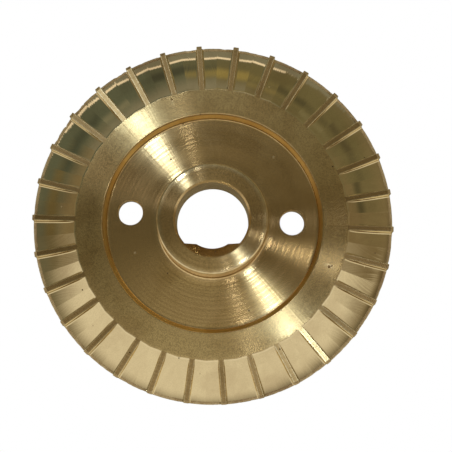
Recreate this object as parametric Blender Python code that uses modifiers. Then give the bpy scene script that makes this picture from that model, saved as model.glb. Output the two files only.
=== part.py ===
"""Impeller of a small peripheral pump: one brass wheel, milled with blades round both of its edges.

The bore's axis is +Z, the side with the tall hub boss faces up, and the origin is in the middle of the
lowest face. Lengths are in metres and angles in degrees.
"""

import math

import bmesh
import bpy
from mathutils import Matrix

MM = 0.001

# Wheel: outer size, ring thickness and the thin web left between the two rows of blades.
WHEEL_RADIUS = 40.0 * MM
RING_THICKNESS = 7.1 * MM
WEB_THICKNESS = 1.6 * MM
TURNED_STEPS = 120

# Blades: thirty straight ones, cut from the solid by a flat cutter that passes along each blade's side.
# They were indexed about a point a little off the turned axis.
BLADE_COUNT = 30
BLADE_THICKNESS = 1.2 * MM
FIRST_BLADE_DEG = 10.0
INDEX_CENTER = (-0.25 * MM, -0.2 * MM)
POCKET_ROOT_RADIUS = 30.25 * MM
POCKET_FLOOR_STEPS = 8

# Turned recess inside the ring, the same depth on both sides, with a slightly sloping wall.
RECESS_RADIUS = 24.4 * MM
RECESS_FLOOR_RADIUS = 23.7 * MM
RECESS_DEPTH = 2.4 * MM

# Hub: a tall boss on the front only. The back recess runs flat to the bore.
BOSS_RADIUS = 12.1 * MM
BOSS_PROUD = 6.4 * MM
BOSS_CHAMFER = 0.45 * MM
BOSS_FILLET = 0.5 * MM
FILLET_STEPS = 3

# Bore: round with one flat, over a smaller drilled hole, with a countersunk mouth at each end.
BORE_RADIUS = 7.95 * MM
BORE_FLAT = 5.3 * MM
PILOT_RADIUS = 6.3 * MM
MOUTH_RADIUS = 8.4 * MM
MOUTH_DEPTH = 3.4 * MM
BACK_MOUTH_DEPTH = 1.0 * MM
BORE_STEPS = 60

# Two drilled balance holes, each with its distance from the axis and its angle. They aren't quite opposite.
BALANCE_RADIUS = 2.75 * MM
BALANCE_HOLES = ((17.7 * MM, 0.3), (18.5 * MM, 172.5))
BALANCE_STEPS = 24

# How far a cutter reaches past the face that it cuts, and the distance within which points merge.
OVERCUT = 1.0 * MM
MERGE = 0.01 * MM

BRASS_COLOR = (0.58, 0.44, 0.20, 1.0)
BRASS_ROUGHNESS = 0.3
BRASS_METALLIC = 1.0

PITCH_DEG = 360.0 / BLADE_COUNT
FRONT_Z = RING_THICKNESS
BOSS_Z = RING_THICKNESS + BOSS_PROUD
MIDDLE_Z = RING_THICKNESS / 2
FRONT_FLOOR_Z = FRONT_Z - RECESS_DEPTH
POCKET_DEPTH = (RING_THICKNESS - WEB_THICKNESS) / 2


def clear_scene():
    """Removes whatever objects the scene holds."""
    for item in list(bpy.data.objects):
        bpy.data.objects.remove(item, do_unlink=True)


def new_collection(name):
    """Returns a new collection under the scene's own."""
    collection = bpy.data.collections.new(name)
    bpy.context.scene.collection.children.link(collection)
    return collection


def brass():
    """Returns the wheel's material."""
    material = bpy.data.materials.new("brass")
    material.use_nodes = True
    shader = material.node_tree.nodes["Principled BSDF"]
    shader.inputs["Base Color"].default_value = BRASS_COLOR
    shader.inputs["Roughness"].default_value = BRASS_ROUGHNESS
    shader.inputs["Metallic"].default_value = BRASS_METALLIC
    return material


def add_mesh(name, bm, collection):
    """Turns a bmesh into a named object in the collection."""
    mesh = bpy.data.meshes.new(name)
    bm.to_mesh(mesh)
    bm.free()
    item = bpy.data.objects.new(name, mesh)
    collection.objects.link(item)
    return item


def add_empty(name, collection, turn_deg=0.0, place=(0.0, 0.0, 0.0), parent=None):
    """Adds an empty at a place, turned about its own upright axis."""
    item = bpy.data.objects.new(name, None)
    collection.objects.link(item)
    item.rotation_euler.z = math.radians(turn_deg)
    item.location = place
    item.parent = parent
    return item


def as_cutter(item):
    """Marks an object as a cutting tool, which is not part of the wheel."""
    item.hide_render = True
    item.display_type = "WIRE"
    return item


def cut(body, tool, name):
    """Takes the tool's shape out of the body."""
    step = body.modifiers.new(name, "BOOLEAN")
    step.operation = "DIFFERENCE"
    step.solver = "EXACT"
    step.object = tool


def fillet_points():
    """Returns the (radius, height) points of the rounded foot between the boss and the recess floor."""
    center_r = BOSS_RADIUS + BOSS_FILLET
    center_z = FRONT_FLOOR_Z + BOSS_FILLET
    points = []
    for step in range(FILLET_STEPS + 1):
        angle = math.pi + step / FILLET_STEPS * math.pi / 2
        points.append((center_r + BOSS_FILLET * math.cos(angle), center_z + BOSS_FILLET * math.sin(angle)))
    return points


def wheel_profile():
    """Returns the blank's outline as (radius, height), from the axis on the front round to the back."""
    front = [
        (0.0, BOSS_Z),
        (BOSS_RADIUS - BOSS_CHAMFER, BOSS_Z),
        (BOSS_RADIUS, BOSS_Z - BOSS_CHAMFER),
        *fillet_points(),
        (RECESS_FLOOR_RADIUS, FRONT_FLOOR_Z),
        (RECESS_RADIUS, FRONT_Z),
        (WHEEL_RADIUS, FRONT_Z),
    ]
    back = [
        (WHEEL_RADIUS, 0.0),
        (RECESS_RADIUS, 0.0),
        (RECESS_FLOOR_RADIUS, RECESS_DEPTH),
        (0.0, RECESS_DEPTH),
    ]
    return front + back


def turned_blank(collection):
    """Turns the blank from its outline, with no holes or pockets in it yet."""
    bm = bmesh.new()
    points = [bm.verts.new((radius, 0.0, height)) for radius, height in wheel_profile()]
    for first, second in zip(points, points[1:]):
        bm.edges.new((first, second))
    blank = add_mesh("impeller", bm, collection)
    # The facets' edges stand half a facet off each blade's middle, so no edge meets a blade's side.
    blank.rotation_euler.z = math.radians(FIRST_BLADE_DEG + 180.0 / TURNED_STEPS)
    turn = blank.modifiers.new("turn", "SCREW")
    turn.axis = "Z"
    turn.angle = math.tau
    turn.steps = TURNED_STEPS
    turn.render_steps = TURNED_STEPS
    turn.use_merge_vertices = True
    turn.merge_threshold = MERGE
    return blank


def pocket_floor_points():
    """Returns the (distance, height) points of a front pocket's hollow floor, from its root to past the rim.

    The floor is an arc that lies flat on the web at the rim. At the root it runs straight on, up past the
    ring's face.
    """
    reach = WHEEL_RADIUS - POCKET_ROOT_RADIUS
    arc_radius = (reach**2 + POCKET_DEPTH**2) / (2 * POCKET_DEPTH)
    root_angle = math.asin(reach / arc_radius)
    floor_z = FRONT_Z - POCKET_DEPTH
    run = OVERCUT / math.tan(root_angle)
    points = [(POCKET_ROOT_RADIUS - run, FRONT_Z + OVERCUT)]
    for step in range(POCKET_FLOOR_STEPS + 1):
        angle = root_angle * (1 - step / POCKET_FLOOR_STEPS)
        rise = arc_radius * (1 - math.cos(angle))
        points.append((WHEEL_RADIUS - arc_radius * math.sin(angle), floor_z + rise))
    points.append((WHEEL_RADIUS + OVERCUT, floor_z))
    return points


def pocket_cutter(collection):
    """Makes the shape that takes out all the pockets, on both sides of the wheel.

    One pass of the cutter runs along one side of a blade. It is cut off at the pocket's middle and
    mirrored there, which leaves the slight ridge between the two passes. The pocket is mirrored to the
    other side of the web and repeated round the wheel.
    """
    outline = pocket_floor_points() + [(WHEEL_RADIUS + OVERCUT, FRONT_Z + OVERCUT)]
    width = WHEEL_RADIUS * math.tan(math.radians(PITCH_DEG / 2)) + OVERCUT
    bm = bmesh.new()
    side = bm.faces.new([bm.verts.new((x, BLADE_THICKNESS / 2, z)) for x, z in outline])
    grown = bmesh.ops.extrude_face_region(bm, geom=[side])
    far = [item for item in grown["geom"] if isinstance(item, bmesh.types.BMVert)]
    bmesh.ops.translate(bm, verts=far, vec=(0.0, width, 0.0))
    bmesh.ops.recalc_face_normals(bm, faces=bm.faces)
    bmesh.ops.rotate(bm, verts=bm.verts, matrix=Matrix.Rotation(math.radians(-PITCH_DEG / 2), 3, "Z"))
    bmesh.ops.bisect_plane(
        bm,
        geom=[*bm.verts, *bm.edges, *bm.faces],
        plane_co=(0.0, 0.0, 0.0),
        plane_no=(0.0, 1.0, 0.0),
        clear_outer=True,
    )
    cutter = as_cutter(add_mesh("pocket_cutter", bm, collection))
    index = add_empty("pocket_start", collection, FIRST_BLADE_DEG - PITCH_DEG / 2, (*INDEX_CENTER, 0.0))
    middle = add_empty("ring_middle", collection, place=(0.0, 0.0, MIDDLE_Z), parent=index)
    pitch = add_empty("pocket_pitch", collection, PITCH_DEG, parent=index)
    cutter.parent = index
    mirror = cutter.modifiers.new("both_sides", "MIRROR")
    mirror.use_axis = (False, True, True)
    mirror.mirror_object = middle
    mirror.merge_threshold = MERGE
    array = cutter.modifiers.new("round_the_wheel", "ARRAY")
    array.count = BLADE_COUNT
    array.use_relative_offset = False
    array.use_object_offset = True
    array.offset_object = pitch
    return cutter


def round_cutter(name, collection, radius_low, radius_high, low, high, steps):
    """Makes a closed cylinder or cone on the wheel's axis, from the height low to the height high."""
    bm = bmesh.new()
    bmesh.ops.create_cone(
        bm,
        cap_ends=True,
        segments=steps,
        radius1=radius_low,
        radius2=radius_high,
        depth=high - low,
        matrix=Matrix.Translation((0.0, 0.0, (low + high) / 2)),
    )
    return as_cutter(add_mesh(name, bm, collection))


def through_cutter(name, collection, radius):
    """Makes a cylinder on the axis that runs right through the wheel."""
    return round_cutter(name, collection, radius, radius, -OVERCUT, BOSS_Z + OVERCUT, BORE_STEPS)


def flatted_bore_cutter(collection):
    """Makes the bore's round shape with one flat, on the side of -Y."""
    bore = through_cutter("bore_cutter", collection, BORE_RADIUS)
    bm = bmesh.new()
    bmesh.ops.create_cube(bm, size=1.0)
    depth = BORE_RADIUS
    height = BOSS_Z + 4 * OVERCUT
    bmesh.ops.scale(bm, verts=bm.verts, vec=(3 * BORE_RADIUS, depth, height))
    bmesh.ops.translate(bm, verts=bm.verts, vec=(0.0, -BORE_FLAT - depth / 2, BOSS_Z / 2))
    cut(bore, as_cutter(add_mesh("flat_block", bm, collection)), "flat")
    return bore


def mouth_cutter(name, collection, face_z, outward, depth):
    """Makes the cone of a countersunk mouth, at 45 degrees, in the face at face_z that looks outward."""
    inner = face_z - outward * depth
    outer = face_z + outward * OVERCUT
    radius_inner = MOUTH_RADIUS - depth
    radius_outer = MOUTH_RADIUS + OVERCUT
    if outward > 0:
        return round_cutter(name, collection, radius_inner, radius_outer, inner, outer, BORE_STEPS)
    return round_cutter(name, collection, radius_outer, radius_inner, outer, inner, BORE_STEPS)


def balance_cutter(name, collection, distance, angle_deg):
    """Makes one balance hole's cutter, at its distance from the axis and its angle round it."""
    hole = round_cutter(
        name, collection, BALANCE_RADIUS, BALANCE_RADIUS, -OVERCUT, FRONT_Z + OVERCUT, BALANCE_STEPS
    )
    angle = math.radians(angle_deg)
    hole.location = (distance * math.cos(angle), distance * math.sin(angle), 0.0)
    return hole


def build():
    """Builds the wheel and cuts its pockets, bore and holes."""
    clear_scene()
    parts = new_collection("peripheral_pump_impeller")
    cutters = new_collection("cutters")
    wheel = turned_blank(parts)
    wheel.data.materials.append(brass())
    cut(wheel, pocket_cutter(cutters), "pockets")
    cut(wheel, flatted_bore_cutter(cutters), "bore")
    cut(wheel, through_cutter("pilot_cutter", cutters, PILOT_RADIUS), "pilot_hole")
    cut(wheel, mouth_cutter("front_mouth_cutter", cutters, BOSS_Z, 1, MOUTH_DEPTH), "front_mouth")
    cut(wheel, mouth_cutter("back_mouth_cutter", cutters, RECESS_DEPTH, -1, BACK_MOUTH_DEPTH), "back_mouth")
    for number, (distance, angle_deg) in enumerate(BALANCE_HOLES, start=1):
        hole = balance_cutter(f"balance_cutter_{number}", cutters, distance, angle_deg)
        cut(wheel, hole, f"balance_hole_{number}")


build()
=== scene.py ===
"""Looks of a peripheral pump's brass impeller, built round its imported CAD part.

The wheel is one piece of brass, so one piece of this scene stands for the one CAD node. It is built in
millimetres in the CAD's own frame: the bore's axis is +Z, the boss faces up and the back face lies on the
floor. Its surfaces are made in strips that follow the tools: the lathe's circles on the turned faces and
the milling cutter's passes in the pockets.
"""

from __future__ import annotations

import logging
import math
from dataclasses import dataclass, replace
from enum import Enum

import bmesh
import bpy
from mathutils import Matrix, Vector, noise


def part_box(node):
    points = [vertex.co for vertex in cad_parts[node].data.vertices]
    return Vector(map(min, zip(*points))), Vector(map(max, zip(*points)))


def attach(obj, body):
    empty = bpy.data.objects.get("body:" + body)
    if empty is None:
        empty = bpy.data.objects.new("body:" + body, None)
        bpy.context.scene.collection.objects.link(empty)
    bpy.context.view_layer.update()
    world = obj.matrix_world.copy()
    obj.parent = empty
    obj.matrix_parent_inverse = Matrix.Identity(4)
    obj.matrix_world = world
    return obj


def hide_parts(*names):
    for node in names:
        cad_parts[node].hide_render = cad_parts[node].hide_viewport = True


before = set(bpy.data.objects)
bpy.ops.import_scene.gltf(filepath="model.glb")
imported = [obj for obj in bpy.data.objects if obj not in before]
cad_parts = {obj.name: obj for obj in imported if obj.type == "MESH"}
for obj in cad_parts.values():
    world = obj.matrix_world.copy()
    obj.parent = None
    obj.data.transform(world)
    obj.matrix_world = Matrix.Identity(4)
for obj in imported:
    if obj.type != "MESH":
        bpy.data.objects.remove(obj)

LOG = logging.getLogger("impeller")
MM = 0.001
MERGE_MM = 0.0015
TINY_MM = 0.001
SHARP_DEG = 30.0

# How many strips beside a face's outer edge the cutter has left broken.
BROKEN_STRIPS = 3

# How fine the noise of the shared effects is, per metre.
TARNISH_SCALE = 70.0
GRAIN_SCALE = 3600.0
SPECK_SCALE = 1500.0
NICK_SCALE = 1100.0

Point = tuple[float, float, float]
Rgb = tuple[float, float, float]


class Finish(Enum):
    """The finishes on the wheel, each with the number of its material slot."""

    TURNED = 0
    MILLED = 1
    BORED = 2
    BROKEN = 3
    LAND = 4
    RING = 5
    WALL = 6


class Side(Enum):
    """The two sides of a blade, seen from above with the tip away from the viewer."""

    LEFT = 1
    RIGHT = -1


# Sizes


@dataclass(frozen=True)
class WheelSizes:
    """The wheel's sizes in millimetres. The outer radius and the height come from the CAD part's box."""

    radius: float
    boss_z: float
    ring_thickness: float = 7.1
    web_thickness: float = 1.6
    blade_count: int = 30
    blade_thickness: float = 1.2
    first_blade_deg: float = 10.0
    index_center: tuple[float, float] = (-0.25, -0.2)
    root_radius: float = 30.25
    recess_radius: float = 24.4
    recess_floor_radius: float = 23.7
    recess_depth: float = 2.4
    boss_radius: float = 12.1
    boss_chamfer: float = 0.45
    boss_fillet: float = 0.5

    @classmethod
    def from_frame(cls, node: str) -> WheelSizes:
        """Returns the sizes, with the radius and the boss's height measured on a CAD node."""
        low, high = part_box(node)
        return cls(radius=(high.x - low.x) / 2 / MM, boss_z=high.z / MM)

    @property
    def pitch(self) -> float:
        """The angle from one blade to the next, in radians."""
        return math.tau / self.blade_count

    @property
    def pocket_depth(self) -> float:
        """The pocket's depth at the rim."""
        return (self.ring_thickness - self.web_thickness) / 2

    @property
    def floor_arc(self) -> float:
        """The radius of the arc that the milling cutter leaves in a pocket's floor."""
        reach = self.radius - self.root_radius
        return (reach**2 + self.pocket_depth**2) / (2 * self.pocket_depth)


@dataclass(frozen=True)
class EdgeSizes:
    """The small bevels and fillets, in millimetres. No bevel takes more than shallow_share of a depth."""

    blade_edge: float = 0.07
    floor_fillet: float = 0.34
    root_crest: float = 0.07
    tip_chamfer: float = 0.55
    tip_side: float = 0.08
    web_edge: float = 0.14
    lip: float = 0.09
    foot: float = 0.3
    hole_flare: float = 0.14
    pass_step: float = 0.07
    shallow_share: float = 0.4


# Mesh building


def wobble(x: float, y: float, z: float, seed: float = 0.0) -> float:
    """Returns smooth noise from about -1 to 1 at a point, which the seed moves to another part of it."""
    return noise.noise(Vector((x + 17.3 * seed, y - 9.1 * seed, z + 4.7 * seed)))


def add_object(name: str, data: bpy.types.ID) -> bpy.types.Object:
    """Adds an object to the scene.

    Args:
        name: Its name.
        data: Its mesh, lamp or camera.

    Returns:
        The object.
    """
    item = bpy.data.objects.new(name, data)
    bpy.context.scene.collection.objects.link(item)
    return item


class Sketch:
    """Collects points and faces in millimetres and turns them into a mesh object in metres."""

    def __init__(self) -> None:
        """Starts with no points and no faces."""
        self.points: list[Point] = []
        self.paths: list[Point] = []
        self.wear: list[float] = []
        self.faces: list[tuple[int, ...]] = []
        self.finishes: list[int] = []

    def add_points(self, points: list[Point], paths: list[Point], wear: list[float]) -> list[int]:
        """Adds a row of points.

        Args:
            points: Where they are.
            paths: For each, how far it is along the tool's path and across it, and the pass's number.
            wear: For each, how worn the edge is there, from 0 to 1.

        Returns:
            The numbers of the new points.
        """
        first = len(self.points)
        self.points.extend(points)
        self.paths.extend(paths)
        self.wear.extend(wear)
        return list(range(first, len(self.points)))

    def add_face(self, corners: tuple[int, ...], finish: Finish, flip: bool = False) -> None:
        """Adds one face, with its corners anticlockwise seen from outside unless they are flipped."""
        self.faces.append(tuple(reversed(corners)) if flip else corners)
        self.finishes.append(finish.value)

    def add_strip(
        self, first: list[int], second: list[int], finishes: list[Finish], flip: bool = False
    ) -> None:
        """Joins two rows of points with quads.

        Args:
            first: The first row's points.
            second: The second row's points, as many as in the first.
            finishes: The finish of each quad.
            flip: Whether the quads face the other way.
        """
        for index, finish in enumerate(finishes):
            quad = (first[index], second[index], second[index + 1], first[index + 1])
            self.add_face(quad, finish, flip)

    def build(self, name: str) -> bpy.types.Object:
        """Makes the mesh object, with points that coincide merged.

        Args:
            name: The object's name.

        Returns:
            The new object, linked to the scene.
        """
        bm = bmesh.new()
        path_layer = bm.verts.layers.float_vector.new("tool_path")
        wear_layer = bm.verts.layers.float.new("wear")
        verts = []
        for point, path, worn in zip(self.points, self.paths, self.wear):
            vert = bm.verts.new([value * MM for value in point])
            vert[path_layer] = path
            vert[wear_layer] = worn
            verts.append(vert)
        for corners, finish in zip(self.faces, self.finishes):
            bm.faces.new([verts[corner] for corner in corners]).material_index = finish
        bmesh.ops.remove_doubles(bm, verts=bm.verts, dist=MERGE_MM * MM)
        bmesh.ops.recalc_face_normals(bm, faces=bm.faces)
        mesh = bpy.data.meshes.new(name)
        bm.to_mesh(mesh)
        bm.free()
        return add_object(name, mesh)


@dataclass(frozen=True)
class CutterPass:
    """One straight pass of the milling cutter beside a blade, with its small errors.

    Attributes:
        blade: The number of the blade that the pass runs along.
        side: The side of the blade that it is on.
        shift: How far the pass was moved outwards, in millimetres.
        drop: How much deeper than planned it went, in millimetres.
    """

    blade: int
    side: Side
    shift: float
    drop: float


class Row(Enum):
    """The kinds of rows that run across a half-sector, from the lip out to the rim."""

    FACE = "flat face"
    ROOT = "crest where the pocket begins"
    FLOOR = "pocket floor"
    EDGE = "upper edge of the rim"
    RIM = "rim"


@dataclass(frozen=True)
class Burrs:
    """The small burrs that the cutter leaves on the web's edge as it comes out.

    Attributes:
        depth: How deep they cut into the rim, in millimetres.
        lift: How far they stand up from the pocket's floor, in millimetres.
        coarse_scale: How close together the coarse ones are, per millimetre.
        coarse_share: The strength of the coarse ones.
        fine_scale: How close together the fine ones are, per millimetre.
        fine_share: The strength of the fine ones.
        usual: Their strength all round.
        worst: How much stronger they are at the worst place.
        worst_deg: The worst place's angle round the axis.
        reach_deg: How far it reaches to either side.
        edge_depth: Their depth above the rim, against that on it.
        rim_lift: Their lift on the rim, against that above it.
    """

    depth: float = 0.26
    lift: float = 0.22
    coarse_scale: float = 0.55
    coarse_share: float = 0.9
    fine_scale: float = 1.9
    fine_share: float = 0.6
    usual: float = 0.55
    worst: float = 1.35
    worst_deg: float = 122.0
    reach_deg: float = 34.0
    edge_depth: float = 1.4
    rim_lift: float = 0.4

    def move(self, place: Vector, drop: float, kind: Row, front: bool) -> tuple[Vector, float]:
        """Moves one point of the web's edge.

        Args:
            place: The point's place, seen from above.
            drop: How far it lies below the face.
            kind: The row's kind, EDGE or RIM.
            front: Whether it is on the front.

        Returns:
            The moved place and the new drop.
        """
        seed = 1.0 if front else 2.0
        coarse = wobble(place.x * self.coarse_scale, place.y * self.coarse_scale, 0.0, seed)
        fine = wobble(place.x * self.fine_scale, place.y * self.fine_scale, 3.0, seed)
        turn = math.degrees(math.atan2(place.y, place.x)) - self.worst_deg
        strength = self.usual + self.worst * math.exp(-((turn / self.reach_deg) ** 2))
        rough = max(0.0, coarse * self.coarse_share + fine * self.fine_share) * strength
        inward = self.depth * rough * (1.0 if kind is Row.RIM else self.edge_depth)
        lift = self.lift * rough * (1.0 if kind is Row.EDGE else self.rim_lift)
        return place - place.normalized() * inward, drop - lift


@dataclass
class BladeRing:
    """The ring of blades: both faces of the ring, the milled pockets and the rim.

    A half-sector is the strip from a blade's middle to the middle of the pocket beside it, where one pass
    of the cutter ends. Its columns are straight lines that run outwards, and its rows go across it. Narrow
    rows and columns beside the edges keep the edges' smooth shading off the flat faces.

    Attributes:
        face_rows: The flat face's rows, as shares of its width.
        crest_rows: The crest's rows, in millimetres from the pocket's root.
        floor_rows: How many rows the pocket's floor has.
        last_share: How far the extra row beside the rim is from it, as a share of a floor row.
        floor_columns: The floor's columns, as shares of the half-pocket's width.
        shift_error: How far a pass may lie too far out or in, in millimetres.
        drop_error: How far it may be too deep or too shallow, in millimetres.
        bright_blades: The blades whose tops shine like the ring's face.
        dents: How deep the rim's dents are, as a share of its radius.
        worn_depth: How deep a pocket has to be for its edge to be rubbed, in millimetres.
    """

    sizes: WheelSizes
    edges: EdgeSizes
    burrs: Burrs = Burrs()
    face_rows: tuple[float, ...] = (0.0, 0.04, 0.9)
    crest_rows: tuple[float, ...] = (-0.3, -0.16, -0.07, 0.0, 0.07, 0.16, 0.3)
    floor_rows: int = 18
    last_share: float = 0.25
    floor_columns: tuple[float, ...] = (0.16, 0.34, 0.52, 0.7, 0.88)
    fillet_steps: int = 4
    shift_error: float = 0.09
    drop_error: float = 0.05
    wave_height: float = 0.0018
    wave_length: float = 2.2
    wave_skew: float = 0.06
    ripple_scale: float = 2.6
    ripple_share: float = 0.3
    bright_blades: tuple[int, ...] = (25,)
    rim_levels: tuple[float, ...] = (0.3, 0.7)
    dents: float = 0.0016
    dent_scale: float = 1.3
    rim_wear: float = 0.2
    edge_wear: float = 0.8
    worn_depth: float = 0.05

    def cutter_pass(self, blade: int, side: Side, front: bool) -> CutterPass:
        """Works out the pass on one side of a blade, with its own small errors.

        Args:
            blade: The blade's number.
            side: The side of the blade.
            front: Whether the pass is on the front.

        Returns:
            The pass.
        """
        # The seed's steps only keep the passes apart in the noise.
        seed = 3.7 * (blade + 1) + 1.9 * side.value + (0.0 if front else 50.0)
        shift = self.shift_error * wobble(seed, 0.4, 0.8)
        drop = self.drop_error * wobble(0.3, seed, 2.2)
        return CutterPass(blade, side, shift, drop)

    def depth(self, x: float, milled: CutterPass) -> float:
        """Works out how far a pass's floor lies below the ring's face.

        Args:
            x: The distance from the index centre along the blade.
            milled: The pass.

        Returns:
            The depth in millimetres, 0 inside the pocket's root.
        """
        sizes = self.sizes
        if x < sizes.root_radius + self.crest_rows[0] + TINY_MM:
            return 0.0
        arc_radius = sizes.floor_arc
        along = x - milled.shift
        reach = sizes.radius - along
        if reach <= 0:
            plain = sizes.pocket_depth
        elif along >= sizes.root_radius:
            plain = sizes.pocket_depth - (arc_radius - math.sqrt(arc_radius**2 - reach**2))
        else:
            slope = math.tan(math.asin((sizes.radius - sizes.root_radius) / arc_radius))
            plain = (along - sizes.root_radius) * slope
        plain += milled.drop * min(1.0, max(0.0, plain / sizes.pocket_depth))
        return (plain + math.hypot(plain, self.edges.root_crest)) / 2

    def waves(self, x: float, y: float, milled: CutterPass) -> float:
        """Works out how far the cutter's chatter lowers the floor at a place beside its blade.

        Args:
            x: The distance along the blade.
            y: The distance from the blade's middle.
            milled: The pass.

        Returns:
            The extra depth in millimetres, 0 at the pocket's root.
        """
        # The seed's steps only keep the passes apart in the noise.
        seed = 7.0 * milled.blade + 3.0 * milled.side.value
        share = min(1.0, max(0.0, (x - self.sizes.root_radius) / self.wave_length))
        long = wobble(x / self.wave_length, y / self.wave_length * self.wave_skew, seed)
        short = wobble(x / self.wave_length * self.ripple_scale, 0.0, seed, 4.0)
        return self.wave_height * share * (long + self.ripple_share * short)

    @staticmethod
    def outline_x(start: Vector, along: Vector, radius: float) -> float:
        """Works out where a column meets a circle about the wheel's axis.

        Args:
            start: The column's point at x = 0.
            along: How the column moves as x grows by 1.
            radius: The circle's radius.

        Returns:
            The value of x there.
        """
        a = along.dot(along)
        b = 2 * start.dot(along)
        c = start.dot(start) - radius**2
        return (-b + math.sqrt(b * b - 4 * a * c)) / (2 * a)

    def build(self, sketch: Sketch) -> tuple[list[int], list[int]]:
        """Adds the whole ring to the sketch.

        Args:
            sketch: The mesh under construction.

        Returns:
            The points on the front lip circle and on the back one, each going once round.
        """
        front_lip: list[int] = []
        back_lip: list[int] = []
        for blade in range(self.sizes.blade_count):
            for side in (Side.RIGHT, Side.LEFT):
                half = HalfSector(self, blade, side)
                rows = {front: half.add_face(sketch, front) for front in (True, False)}
                half.add_rim(sketch, rows[True][-1], rows[False][-1])
                self.extend_lip(front_lip, rows[True][0], side)
                self.extend_lip(back_lip, rows[False][0], side)
        return front_lip, back_lip

    @staticmethod
    def extend_lip(lip: list[int], row: list[int], side: Side) -> None:
        """Adds a half-sector's innermost points to the lip's circle, in the order that they go round."""
        ordered = list(reversed(row)) if side is Side.RIGHT else row
        lip.extend(ordered[:-1])


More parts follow.
